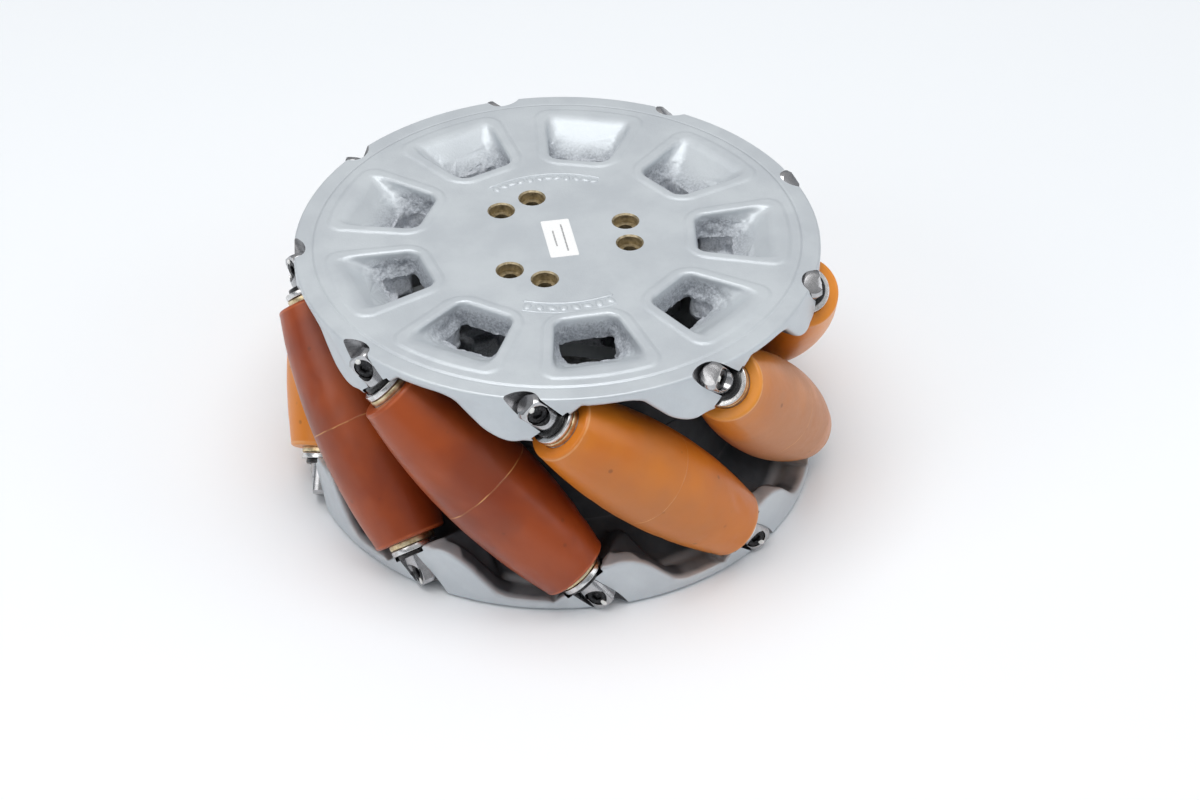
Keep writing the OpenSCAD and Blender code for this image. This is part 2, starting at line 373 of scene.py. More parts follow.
def srgb(*colour):
    """Linear colour from red, green and blue of 0 to 255."""
    shares = [c / 255 for c in colour]
    return tuple(c / 12.92 if c <= 0.04045 else ((c + 0.055) / 1.055) ** 2.4 for c in shares)


# ---------------------------------------------------------------- the casting, as a distance field

# All of this is in the casting's own frame: one roller's middle on +X, the hub's face up. The field repeats
# nine times round the wheel.

FAR = 99.0  # further than any surface
GRADIENT_STEP = 0.15


def cut(a, b, r):
    """Where both fields are inside, with the edge between them rounded by r."""
    return np.minimum(np.maximum(a, b), -r) + np.hypot(np.maximum(a + r, 0), np.maximum(b + r, 0))


def join(a, b, r):
    """Where either field is inside, with a fillet of radius r between them."""
    return np.maximum(np.minimum(a, b), r) - np.hypot(np.maximum(r - a, 0), np.maximum(r - b, 0))


def turned(x, y, deg):
    c, s = math.cos(math.radians(deg)), math.sin(math.radians(deg))
    return x * c + y * s, y * c - x * s


def soft(x, w):
    """1 well below 0 and 0 well above it, over a width w."""
    t = np.clip(0.5 - x / w, 0, 1)
    return t * t * (3 - 2 * t)


def window_sides(u, v, grow):
    c, s = math.cos(math.radians(WINDOW_ANGLE)), math.sin(math.radians(WINDOW_ANGLE))
    return np.abs(v) * c - u * s - grow


def near_windows(x, y):
    """The point in the frames of the two windows beside a roller, with u along the window's middle."""
    return [turned(x, y, WINDOW_TURN + STEP * k) for k in (0, 1)]


def face_height(x, y, r):
    """Height of the plate's face: pads round the windows, and a lower band at the rim."""
    h = FACE - 0.45 * soft(LIP_R - r, 1.0)
    h = h - 0.25 * np.exp(-(((r - LIP_R) / 0.45) ** 2))
    pad = np.full_like(r, 9.0)
    for u, v in near_windows(x, y):
        f = cut(window_sides(u, v, 5.0), PAD_IN - u, 9.0)
        pad = np.minimum(pad, cut(f, np.hypot(u, v) - PAD_OUT, 7.0))
    return h + (TOP - FACE) * soft(pad, 2.4)


def pocket(x, y, z):
    """A window: a pocket with one long slope, and an opening through its floor."""
    out = np.full_like(x, FAR)
    floor = UNDER + 0.6
    for u, v in near_windows(x, y):
        prism = (np.abs(v) - WINDOW_HALF - (z - floor) * 0.80) / 1.281
        sides = cut(window_sides(u, v, 0.0), prism, 2.0)
        inner = cut(sides, WINDOW_IN - 0.13 * (z - floor) - u, 4.2)
        slope = (u - WINDOW_OUT - (z - floor) * 1.46) / 1.77
        hole = cut(inner, slope, 4.0)
        hole = cut(hole, floor - z, 0.8)
        slot = cut(np.maximum(SLOT_IN - u, u - SLOT_OUT), np.abs(v) - SLOT_HALF, 2.5)
        slot = np.maximum(slot, np.maximum(z - (floor + 3), 40.0 - z))
        out = np.minimum(out, np.minimum(hole, slot))
    return out


def casting(x, y, z):
    """Distance field of the cast rim. Negative inside."""
    r = np.hypot(x, y)
    top = z - face_height(x, y, r)
    cone = (r - CONE_R) * CONE_COS - (z - RIM_EDGE_Z) * CONE_SIN
    drum = join(cone, r - DRUM_R, 6.0)
    plate = cut(r - RIM_R, RIM_EDGE_Z - z, 1.2)
    body = join(plate, drum, 3.0)
    hollow = cut(z - UNDER, r - HOLLOW_R - 0.95 * np.maximum(z - 40.75, 0), 2.5)
    body = np.maximum(body, -hollow)
    for u, v in near_windows(x, y):  # walls behind the plate, either side of a window's opening
        wall = cut(np.abs(np.abs(v) - WALL_V) - WALL_HALF, WALL_IN - u, 1.8)
        wall = cut(wall, WALL_LOW_Z - z, 1.8)
        wall = np.maximum(wall, np.maximum(u - WALL_OUT - 0.36 * (z - 36.25), z - 47.5))
        body = join(body, wall, 1.2)
    # lobes: a ring cut away along each roller, with a block behind each axle end
    ring = cut(r - RIM_R, LOBE_R - (z - LOBE_Z) * 0.05 - r, 3.0)
    away = LOBE_Z - z
    blocks = np.full_like(x, FAR)
    barrels = np.full_like(x, FAR)
    half = math.sqrt(0.5)  # sine and cosine of the rollers' slant
    for k in (-1, 0, 1):
        a, b = turned(x, y, STEP * k)
        lx, ly, lz = a - PITCH, (b + z) * half, (z - b) * half
        t = cut(ly - 31.0, z - RIM_EDGE_Z, 4.5)
        t = cut(t, lz - BOSS_Z, 0.8)
        t = np.maximum(t, np.maximum(-26 - ly, -lz - BOSS_Z))
        away = cut(away, -t, 8.5)
        box = cut(np.maximum(-28 - lx, lx - 32), np.abs(ly) - 12.5, 3.0)
        blocks = np.minimum(blocks, cut(box, BOSS_Z - lz, 0.8))
        rad = TREAD_R + 2.7 - ARC_R + np.sqrt(np.maximum(ARC_R**2 - lz**2, 1))
        barrels = np.minimum(barrels, cut(np.hypot(lx, ly) - rad, np.abs(lz) - BOSS_Z, 0.8))
    blocks = cut(cut(blocks, LOBE_Z - z, 3.0), r - RIM_R, 2.0)
    lobes = cut(ring, away, 2.6)
    lobes = join(lobes, cut(blocks, away - 3.0, 2.0), 3.0)
    body = join(body, lobes, 3.5)
    # a soft outer edge on the face, then the windows and the rollers' clearance
    body = cut(body, top, 1.5)
    body = cut(body, r - RIM_R, 1.2)
    body = cut(body, -pocket(x, y, z), 1.7)
    body = cut(body, -barrels, 1.2)
    return cut(body, -z, 0.6)


def gradient(x, y, z):
    e = GRADIENT_STEP
    gx = casting(x + e, y, z) - casting(x - e, y, z)
    gy = casting(x, y + e, z) - casting(x, y - e, z)
    gz = casting(x, y, z + e) - casting(x, y, z - e)
    return np.stack([gx, gy, gz], -1) / (2 * e)


def fold(x, y):
    """Turns each point into the first roller's share of the wheel. The last value is the angle back."""
    a = np.degrees(np.arctan2(y, x))
    k = np.round(a / STEP)
    t = np.radians(-k * STEP)
    return x * np.cos(t) - y * np.sin(t), x * np.sin(t) + y * np.cos(t), -t


def steps(*stops):
    """Grid lines from (end, spacing) pairs, after a first start value."""
    out = [stops[0]]
    for end, h in stops[1:]:
        n = max(1, round((end - out[-1]) / h))
        out += list(np.linspace(out[-1], end, n + 1)[1:])
    return np.array(out)


def crossings(F, lines, cells, corners):
    """The mean of the surface's crossings of each cell's edges, in the grid's own coordinates."""
    total, count = np.zeros((len(cells), 3)), np.zeros(len(cells))
    for c in corners:
        for d in range(3):
            if c[d]:
                continue
            e = list(c)
            e[d] = 1
            p, q = cells + np.array(c), cells + np.array(e)
            fa, fb = F[tuple(p.T)], F[tuple(q.T)]
            hit = (fa < 0) != (fb < 0)
            t = np.where(hit, fa / np.where(hit, fa - fb, 1), 0)
            pa = np.stack([line[p[:, i]] for i, line in enumerate(lines)], -1)
            pb = np.stack([line[q[:, i]] for i, line in enumerate(lines)], -1)
            total += np.where(hit[:, None], pa + (pb - pa) * t[:, None], 0)
            count += hit
    return total / count[:, None]


def settle(x, y, z, free):
    """Moves points onto the surface of the field. Where free is False, only z moves."""
    for _ in range(2):
        f, g = casting(x, y, z), gradient(x, y, z)
        s = np.clip(f / np.maximum((g**2).sum(-1), 0.3), -0.5, 0.5)
        x, y, z = x - s * g[:, 0] * free, y - s * g[:, 1] * free, z - s * g[:, 2]
    return x, y, z


def skin_quads(ring, ids):
    """A quad across each grid edge that the surface crosses.

    All round the wheel, ring says which grid points are inside the metal, and ids which point a cell holds.
    """
    before = np.roll(ids, 1, 1)  # the cell before, round the wheel
    quads = []

    def emit(here, there, a, b, c, d):
        change = here != there
        q = np.stack([a[change], b[change], c[change], d[change]], -1)
        flip = there[change]
        q[flip] = q[flip][:, ::-1]
        quads.append(q)

    m = ring[:, :, 1:-1]
    emit(m[:-1], m[1:], before[:, :, :-1], ids[:, :, :-1], ids[:, :, 1:], before[:, :, 1:])
    m, after = ring[1:-1, :, 1:-1], np.roll(ring, -1, 1)[1:-1, :, 1:-1]
    emit(m, after, ids[:-1, :, :-1], ids[:-1, :, 1:], ids[1:, :, 1:], ids[1:, :, :-1])
    m = ring[1:-1]
    emit(m[:, :, :-1], m[:, :, 1:], before[:-1], before[1:], ids[1:], ids[:-1])
    return np.concatenate(quads)


def casting_mesh(per_share=72):
    """Surface of the field on a round grid, one share worked out and eight copied."""
    rs = steps(52.0, (58, 1.5), (117.6, 0.92))
    zs = steps(-1.0, (2, 0.75), (29, 4.5), (56.4, 1.14), (60.0, 0.6))
    th = np.radians(-STEP / 2 + STEP / per_share * np.arange(per_share + 1))
    R, T, Z = np.meshgrid(rs, th, zs, indexing="ij")
    F = casting(R * np.cos(T), R * np.sin(T), Z)
    # one point in each cell that the surface crosses
    inside = F < 0
    corners = [(i, j, k) for i in (0, 1) for j in (0, 1) for k in (0, 1)]
    ni, nj, nk = (n - 1 for n in inside.shape)
    some = sum(inside[i : ni + i, j : nj + j, k : nk + k].astype(int) for i, j, k in corners)
    cells = np.argwhere((some > 0) & (some < len(corners)))
    r, t, z = crossings(F, (rs, th, zs), cells, corners).T
    x, y, z = settle(r * np.cos(t), r * np.sin(t), z, cells[:, 0] > 0)
    # all the shares, and the faces between their points
    verts = np.concatenate([np.stack([*turned(x, y, -STEP * k), z], -1) for k in range(COUNT)])
    share = np.full((ni, nj, nk), -1)
    share[tuple(cells.T)] = np.arange(len(cells))
    ids = np.concatenate([np.where(share < 0, -1, share + len(cells) * k) for k in range(COUNT)], 1)
    ring = np.concatenate([inside[:, :-1]] * COUNT, 1)
    faces = [tuple(q) for q in skin_quads(ring, ids)]
    # the plain middle: a disc at each height where the innermost cells cross the surface
    for k in np.flatnonzero(ids[0, 0] >= 0):
        loop = ids[0, :, k]
        n, centre = len(loop), len(verts)
        verts = np.concatenate([verts, [[0, 0, verts[loop, 2].mean()]]])
        faces += [(loop[j], loop[(j + 1) % n], centre) for j in range(n)]
    return clean(obj_from("casting", verts, faces), None)


# ---------------------------------------------------------------- materials


def reach_from_axis(m, p):
    """Distance from the local Z axis."""
    x, y, _ = m.split(p)
    flat = m.node("ShaderNodeCombineXYZ", X=x, Y=y)
    return m.node("ShaderNodeVectorMath", 1, {"operation": "LENGTH"}, i0=flat)


def cast_paint():
    """Silver paint on a cast skin, with dark grey in the hollows behind the lobes."""
    m = Nodes("cast_paint")
    p = m.local()
    _, _, z = m.split(p)
    r = reach_from_axis(m, p)
    cloud = m.noise(p, 0.045, 4, 0.6)
    specks = m.noise(p, 2.6, 2, 0.6)
    sand = m.noise(p, 0.9, 4, 0.7)
    coarse = m.ramp(sand, 0.36, 0.64)
    drift = m.mul(m.minus(m.noise(p, 0.055, 3), 0.5), 9.0)
    paint = m.mix(m.ramp(cloud, 0.3, 0.7), srgb(194, 200, 205), srgb(203, 209, 213))
    paint = m.mix(m.ramp(specks, 0.64, 0.76, 0, 0.3), paint, srgb(168, 172, 177))
    # the lower walls of the windows are rough: grey sand, with painted light at the bottom, where the
    # grains are coloured brighter than the lamps make them. The edge of a window's long slope is a line
    # that moves outwards with height
    over = m.minus(z, UNDER)
    rise = m.plus(m.mul(m.most(over, 0.0), 1.3), m.mul(m.math("MINIMUM", over, 0.0), 0.55))
    line = m.minus(m.minus(r, 84.3), rise)
    well = m.mul(m.ramp(z, 58.0, 53.5), m.ramp(line, 1.0, -3.0), m.ramp(r, 60.0, 62.0))
    wall = m.mul(well, m.ramp(m.plus(r, drift), 90.0, 76.0))
    paint = m.mix(m.mul(wall, 0.85), paint, m.mix(coarse, srgb(132, 137, 145), srgb(186, 191, 198)))
    # painted light: low in a window the sand is coloured brighter, to stand in for light that doesn't reach
    # down there
    low = m.mul(wall, m.ramp(z, 49.0, 46.0), m.mixf(coarse, 0.5, 0.95))
    paint = m.mix(low, paint, srgb(218, 222, 228))
    # inside the drum the paint is thin and grey
    inner = m.mul(m.ramp(r, 75.0, 73.5), m.ramp(z, 36.6, 34.6))
    paint = m.mix(m.mul(inner, 0.8), paint, m.mix(cloud, srgb(128, 130, 132), srgb(150, 152, 154)))
    # dark grey under the rim's edge, behind the lobes and outside the drum
    lobe_line = m.plus(m.minus(r, m.ramp(z, 33.6, 38.0, 103.0, 113.4)), m.mul(drift, 0.4))
    under = m.ramp(m.plus(z, m.mul(drift, 0.12)), RIM_EDGE_Z + 0.1, RIM_EDGE_Z - 1.6)
    outside = m.mul(m.most(m.ramp(line, -0.5, 1.5), m.ramp(z, 38.6, 37.4)), m.ramp(r, 74.6, 75.4))
    hollow_mask = m.mul(m.ramp(lobe_line, 2.0, -1.5), under, outside)
    hollow_grey = m.mix(m.ramp(m.noise(p, 0.10, 3, 0.5), 0.3, 0.7), srgb(70, 74, 79), srgb(84, 88, 93))
    m.set(Base_Color=m.mix(hollow_mask, paint, hollow_grey))
    m.set(Metallic=m.mixf(m.most(hollow_mask, wall), 0.3, 0.05))
    gloss = m.mixf(m.ramp(cloud, 0.3, 0.7), 0.37, 0.44)
    m.set(Roughness=m.mixf(m.most(hollow_mask, m.mul(wall, 0.7)), gloss, 0.62))
    height = m.plus(m.mul(m.noise(p, 1.1, 3, 0.6), 0.5), m.mul(specks, 0.22))
    height = m.plus(m.plus(height, m.mul(sand, wall, 3.6)), m.mul(cloud, 2.0))
    m.set(Normal=m.bump(height, 1.0, 0.00015))
    return m.mat


def machined():
    """Bare milled metal in the seats and the mouth, with fine lines across its axis."""
    m = Nodes("machined")
    p = m.local()
    tone = srgb(150, 150, 152)
    cloud = m.noise(p, 0.4, 3)
    lines = m.noise(m.stretch(p, (0.25, 0.25, 5.0)), 1.0, 2, 0.5)
    m.set(Base_Color=m.mix(m.ramp(cloud, 0.3, 0.7), tuple(0.72 * c for c in tone), tone), Metallic=1.0)
    m.set(Roughness=m.ramp(lines, 0.3, 0.7, 0.24, 0.42))
    m.set(Normal=m.bump(lines, 0.5, 0.00004))
    return m.mat


def chromate():
    """Golden conversion coat on the hub's counterbores."""
    m = Nodes("chromate")
    p = m.local()
    stain = m.noise(p, 0.55, 4, 0.6)
    colour = m.mix(m.ramp(stain, 0.3, 0.7), srgb(150, 137, 110), srgb(192, 178, 148))
    m.set(Base_Color=colour, Metallic=0.75, Roughness=m.ramp(stain, 0.3, 0.7, 0.3, 0.45))
    m.set(Normal=m.bump(m.noise(p, 2.5, 2), 0.5, 0.00004))
    return m.mat


def turned_metal(name, light, dark, low, high):
    """Metal with fine rings round its own axis, a little stained."""
    m = Nodes(name)
    p = m.local()
    _, _, z = m.split(p)
    r = reach_from_axis(m, p)
    rings = m.node("ShaderNodeCombineXYZ", X=m.mul(r, 2.2), Y=m.mul(z, 2.2))
    lines = m.noise(rings, 1.0, 3, 0.7)
    stain = m.noise(p, 0.35, 4, 0.65)
    m.set(Base_Color=m.mix(m.ramp(stain, 0.35, 0.7), srgb(*light), srgb(*dark)), Metallic=1.0)
    m.set(Roughness=m.mixf(m.ramp(lines, 0.3, 0.7), low, high))
    m.set(Normal=m.bump(lines, 0.6, 0.00003))
    return m.mat


PALE_EDGE = (232, 172, 116)


def urethane(name, fresh, deep, worn, wear, amount, side=0.0, ends=None, edge=PALE_EDGE, gloss=(0.3, 0.5)):
    """Cast polyurethane: waxy where it is fresh, dull where it has run on the floor.

    The wear starts at the first value of wear, is full at the second, and covers by amount. side moves it
    towards one side. gloss is the roughness of a fresh and of a worn place.
    """
    m = Nodes(name)
    p = m.local()
    x, y, z = m.split(p)
    away = m.size(z)
    cloud = m.noise(p, 0.028, 3, 0.5)
    mottle = m.noise(p, 0.07, 2, 0.45)
    base = m.mix(m.ramp(cloud, 0.35, 0.65), srgb(*fresh), srgb(*deep))
    # wear: most of it on the crown, and on one side of a roller that has stood still
    crown = m.ramp(away, 52.0, 18.0, -0.2, 0.1)
    lean = m.mul(m.minus(m.mul(x, 0.75), m.mul(y, 0.65)), side / TREAD_R)
    where = m.plus(m.plus(m.mul(mottle, 0.45), m.mul(cloud, 0.55)), m.plus(crown, lean))
    rub = m.ramp(where, *wear, 0.0, amount)
    colour = m.mix(rub, base, srgb(*worn))
    # the end faces never touch the floor, and a pale edge runs round them where the mould was trimmed
    colour = m.mix(m.ramp(away, 55.4, 56.3, 0.0, 0.85), colour, srgb(*(ends or fresh)))
    trim = m.mul(m.ramp(away, 55.1, 55.7), m.ramp(away, 56.5, 56.0))
    trim = m.mul(trim, m.ramp(m.noise(p, 0.12, 2), 0.35, 0.65, 0.15, 0.65))
    colour = m.mix(trim, colour, srgb(*edge))
    # the mould's parting line, and dirt ground into small marks
    wander = m.mul(m.minus(m.noise(p, 0.07, 2), 0.5), 1.2)
    seam = m.ramp(m.size(m.plus(z, wander)), 0.45, 0.1)
    shown = m.mul(seam, m.ramp(m.noise(p, 0.09, 2), 0.4, 0.6, 0.15, 0.7))
    colour = m.mix(shown, colour, srgb(226, 168, 106))
    spots = m.node("ShaderNodeTexVoronoi", 0, {"feature": "F1"}, Vector=p, Scale=0.11)
    spots = m.mul(m.ramp(spots, 0.16, 0.05), m.ramp(mottle, 0.5, 0.6), 0.45)
    m.set(Base_Color=m.mix(spots, colour, srgb(96, 50, 28)))
    fine = m.ramp(m.noise(p, 0.5, 2, 0.5), 0.3, 0.7, -0.02, 0.03)
    m.set(Roughness=m.plus(m.mixf(rub, *gloss), fine))
    m.set(Specular_IOR_Level=0.45)
    # long scuffs round the roller
    scuffs = m.noise(m.stretch(p, (0.1, 0.1, 0.8)), 1.0, 2, 0.5)
    height = m.plus(m.mul(scuffs, rub, 0.8), m.mul(seam, 1.6))
    height = m.plus(height, m.mul(m.noise(p, 0.09, 2), 4.0))
    m.set(Normal=m.bump(height, 0.7, 0.0001))
    return m.mat


def black_oxide():
    m = Nodes("black_oxide")
    p = m.local()
    wear = m.noise(p, 0.9, 4, 0.65)
    m.set(Base_Color=m.mix(m.ramp(wear, 0.45, 0.75), srgb(38, 38, 40), srgb(84, 84, 86)), Metallic=0.7)
    m.set(Roughness=m.ramp(wear, 0.3, 0.7, 0.28, 0.45))
    m.set(Normal=m.bump(m.noise(p, 3.0, 2), 0.5, 0.00004))
    return m.mat


def rubber():
    m = Nodes("seal_rubber")
    p = m.local()
    dust = m.noise(p, 1.1, 3)
    m.set(Base_Color=m.mix(m.ramp(dust, 0.5, 0.8, 0, 0.3), srgb(16, 16, 17), srgb(52, 51, 50)))
    m.set(Roughness=m.ramp(dust, 0.3, 0.7, 0.22, 0.38))
    m.set(Normal=m.bump(dust, 0.4, 0.00005))
    return m.mat


# painted highlight: a glossy white for the drops that stand for the glint beside each axle screw
def glint_white():
    m = Nodes("glint_white")
    p = m.local()
    n = m.noise(p, 1.4, 3)
    m.set(Base_Color=m.mix(m.ramp(n, 0.3, 0.7), srgb(246, 246, 243), srgb(226, 226, 222)))
    m.set(Roughness=m.ramp(n, 0.3, 0.7, 0.18, 0.32))
    m.set(Normal=m.bump(n, 0.6, 0.0001))
    return m.mat


def sticker():
    """Blank printed label with two ruled lines."""
    m = Nodes("sticker")
    p = m.local()
    x, y, _ = m.split(p)
    fibre = m.noise(p, 2.2, 3)
    paper = m.mix(m.ramp(fibre, 0.3, 0.7), srgb(247, 247, 246), srgb(238, 239, 239))
    rules = []
    for at, half in ((2.1, 10.2), (-2.2, 6.0)):
        line = m.ramp(m.size(m.minus(y, at)), 0.42, 0.3)
        rules.append(m.mul(line, m.ramp(m.size(x), half + 0.1, half)))
    ink = m.mul(m.most(*rules), m.ramp(fibre, 0.35, 0.6, 0.45, 0.8))
    m.set(Base_Color=m.mix(ink, paper, srgb(84, 86, 90)))
    m.set(Roughness=m.ramp(fibre, 0.3, 0.7, 0.38, 0.5))
    m.set(Normal=m.bump(m.noise(p, 0.25, 2), 0.5, 0.0001))
    return m.mat


PAINT, BARE, GOLD = cast_paint(), machined(), chromate()
STEEL = turned_metal("turned_steel", (222, 222, 222), (190, 189, 187), 0.18, 0.3)
BRIGHT = turned_metal("bright_steel", (186, 186, 188), (168, 168, 169), 0.16, 0.26)
BRONZE = turned_metal("bronze", (228, 212, 176), (186, 162, 118), 0.26, 0.42)
CORE = turned_metal("core_aluminium", (190, 192, 195), (160, 162, 165), 0.3, 0.45)
BLACK, SEAL, GLINT_WHITE, STICKER = black_oxide(), rubber(), glint_white(), sticker()
ORANGE = urethane(
    "urethane",
    fresh=(230, 142, 46),
    deep=(222, 132, 40),
    worn=(208, 138, 76),
    wear=(0.45, 0.85),
    amount=0.5,
)
FRONT = urethane(
    "urethane_front",
    fresh=(208, 120, 34),
    deep=(200, 110, 30),
    worn=(190, 116, 58),
    wear=(0.4, 0.9),
    amount=0.8,
    side=0.2,
)
WORN = urethane(
    "urethane_worn",
    fresh=(206, 124, 50),
    deep=(196, 114, 46),
    worn=(188, 126, 84),
    wear=(0.3, 0.7),
    amount=0.9,
    side=0.1,
    ends=(226, 146, 56),
)
OLD = urethane(
    "urethane_old",
    fresh=(160, 71, 26),
    deep=(134, 54, 22),
    worn=(132, 68, 42),
    wear=(0.45, 0.9),
    amount=0.5,
    edge=(188, 98, 56),
    gloss=(0.32, 0.42),
)

# ---------------------------------------------------------------- the two rims

PAINTED, MILLED, GILT = 0, 1, 2  # places of the casting's three materials


def tint(o, index):
    """Marks a joined or cutting shape with the material that its faces leave on the casting."""
    for m in (PAINT, BARE, GOLD):
        o.data.materials.append(m)
    o.data.polygons.foreach_set("material_index", [index] * len(o.data.polygons))
    return o


def round_piece(name, profile, n):
    return clean(obj_from(name, *lathe(profile, n)))


def shape(name, profile, n, index, at=None):
    """A round shape that is joined to a casting or cut from it."""
    o = round_piece(name, profile, n)
    if at is not None:
        o.data.transform(at)
    return tint(o, index)


def polar(deg, r, z=0.0):
    return Matrix.Rotation(math.radians(deg), 4, "Z") @ Matrix.Translation((r, 0, z))


def joined(name, objects):
    """Several shapes that don't touch, as one."""
    bm = bmesh.new()
    for o in objects:
        bm.from_mesh(o.data)
    whole = obj_of(name, bm, objects[0].data.materials)
    for o in objects:
        bpy.data.objects.remove(o)
    return whole


def seat_cutter(k):
    """Groove for an axle end, with the round seat of its washer."""
    r, end = AXLE_R + 0.05, 107
    tube = shape("seat", [(0, GROOVE_Z), (r, GROOVE_Z), (r, end), (0, end)], 48, MILLED)
    slot = tint(block("slot", (0, -r, GROOVE_Z), (30, r, end)), MILLED)
    boolean(tube, slot, "UNION")
    floor = [(SINK_R, SINK_Z - 0.4), (SINK_R - 0.4, SINK_Z), (0, SINK_Z)]
    sink = shape("sink", [(0, 53.9), (SINK_R, 53.9), *floor], 64, MILLED)
    boolean(tube, sink, "UNION")
    tube.data.transform(axle_frame(STEP * k))
    return tube


def well_depth(x, y, z):
    """How rough the cast skin is: 0 on the outside, up to 1 low down in the windows."""
    fx, fy, _ = fold(x, y)
    deep = np.clip((57.2 - z) / 4.0, 0, 1) * np.clip((z - 35.5) / 2.0, 0, 1)
    rough = np.zeros_like(x)
    for u, v in near_windows(fx, fy):
        near = np.clip((88.0 - (u - 0.6875 * (z - UNDER))) / 9.0, 0, 1) * np.clip(u - 61.0, 0, 1)
        rough = np.maximum(rough, near * (window_sides(u, v, 1.0) < 0))
    return rough * deep


def roughen(o):
    """Lumps that sand and paint left in the windows."""
    me = o.data
    co = points_of(me)
    w = well_depth(co[:, 0], co[:, 1], co[:, 2])
    for i in np.flatnonzero(w > 0.02):
        p = Vector(co[i])
        lump = 0.85 * noise.noise(p * 0.3) + 0.45 * noise.noise(p * 0.75 + Vector((7, 0, 3)))
        co[i] -= np.array(me.vertices[i].normal) * (lump + 0.1) * w[i]
    me.vertices.foreach_set("co", co.ravel())
    me.update()


def set_normals(o):
    """The cast skin takes its normals from the field, so that it shades as one smooth surface.

    Cut faces and lumps keep their own.
    """
    me = o.data
    smooth(me, 30)
    co = points_of(me)
    x, y, back = fold(co[:, 0], co[:, 1])
    z = co[:, 2]
    g = gradient(x, y, z)
    c, s = np.cos(back), np.sin(back)
    n = np.stack([g[:, 0] * c - g[:, 1] * s, g[:, 0] * s + g[:, 1] * c, g[:, 2]], -1)
    size = np.linalg.norm(n, axis=1)
    on_skin = (np.abs(casting(x, y, z)) < 0.3) & (size > 0.4)
    n = n / np.maximum(size, 1e-6)[:, None]
    vert = np.empty(len(me.loops), int)
    me.loops.foreach_get("vertex_index", vert)
    total = np.empty(len(me.polygons), int)
    me.polygons.foreach_get("loop_total", total)
    mat = np.empty(len(me.polygons), int)
    me.polygons.foreach_get("material_index", mat)
    face_n = np.empty(len(me.polygons) * 3)
    me.polygons.foreach_get("normal", face_n)
    face_n = np.repeat(face_n.reshape(-1, 3), total, 0)
    on_skin &= well_depth(co[:, 0], co[:, 1], z) < 0.05
    keep = on_skin[vert] & (np.repeat(mat, total) == PAINTED)
    loops = n[vert]
    keep &= (loops * face_n).sum(1) > 0.55
    loops[~keep] = 0
    me.normals_split_custom_set(loops.tolist())


def base_casting():
    o = casting_mesh()
    for m in (PAINT, BARE, GOLD):
        o.data.materials.append(m)
    d = o.modifiers.new("thin", "DECIMATE")
    d.ratio = 0.57
    apply_mods(o)
    roughen(o)
    # bosses of the joint between the rims, inside the drum
    boss = [(0, 0.06), (8.1, 0.06), (8.5, 0.46), (8.5, 12.2), (7.7, 13), (0, 13)]
    turns = [30 + 60 * j for j in range(6)] + [60 + 120 * j for j in range(3)]
    bosses = [shape("boss", boss, 40, PAINTED, polar(deg, JOINT_R)) for deg in turns]
    boolean(o, joined("bosses", bosses), "UNION")
    boolean(o, joined("seats", [seat_cutter(k) for k in range(COUNT)]))
    return o


outer = base_casting()
inner = place("inner_rim_cast", outer.data.copy())
outer.name = "outer_rim_cast"
flange_pad = [(0, 43.75), (43.4, 43.75), (44, 44.35), (44, 47.2), (0, 47.2)]
boolean(outer, shape("pad", flange_pad, 128, MILLED), "UNION")
hub_hole = [(0, 40), (3.3, 40), (3.3, 54.25), (5.5, 54.25), (5.5, 57.95), (7.55, 60.0), (7.55, 62), (0, 62)]
turns = [120 * pair + side - TURN for pair in range(3) for side in (-15, 15)]
holes = [shape("hole", hub_hole, 64, GILT, polar(deg, HUB_HOLES_R)) for deg in turns]
boolean(outer, joined("holes", holes))
mouth = [(0, 45.5), (52.05, 45.5), (MOUTH_R, 47.55), (MOUTH_R, 57.85), (52.1, 59.95), (52.1, 62), (0, 62)]
boolean(inner, shape("mouth", mouth, 144, MILLED))
for rim, node, at in ((outer, "outer_rim", TO_OUTER), (inner, "inner_rim", TO_INNER)):
    set_local(rim.data)
    set_normals(rim)
    rim.data.transform(at)
    add(rim, "wheel", (node,), angle=None)

# raised marks of the foundry on the hub, kept as plain beads and ridges


def bead(at, size):
    crown = [(math.cos(t), math.sin(t)) for t in np.linspace(-1.3, 1.3, 9)]
    o = round_piece("bead", [(0, -1), *crown, (0, 1)], 20)
    o.data.transform(at @ Matrix.Diagonal((*size, 1)))
    return o


def beads(count, r, start, by, lean, cycle, size):
    """A row of beads along an arc. Each leans by its place in a cycle, and every second one is shorter."""
    row = []
    length, width, height = size
    for i in range(count):
        at = polar(start + i * by, r, MARKS_Z) @ Matrix.Rotation(lean * (i % cycle), 4, "Z")
        row.append(bead(at, (length - 0.3 * (i % 2), width, height)))
    return row


def ridge(r, deg0, deg1, half, height, n=36, sides=8):
    """Raised line along an arc, with round ends."""
    verts, faces = [], []
    for i in range(n + 1):
        t = i / n
        w = half * math.sqrt(max(0.02, 1 - max(0, abs(2 * t - 1) - 0.94) ** 2 / 0.06**2))
        a = math.radians(deg0 + (deg1 - deg0) * t)
        for j in range(sides):
            b = 2 * math.pi * j / sides
            q = r + w * math.cos(b)
            verts.append((q * math.cos(a), q * math.sin(a), MARKS_Z + height * w / half * math.sin(b)))
    for i in range(n):
        for j in range(sides):
            k = (j + 1) % sides
            row, after = sides * i, sides * (i + 1)
            faces.append((row + j, row + k, after + k, after + j))
    faces += [tuple(range(sides)), tuple(range(sides * n, sides * (n + 1)))]
    return clean(obj_from("ridge", verts, faces))


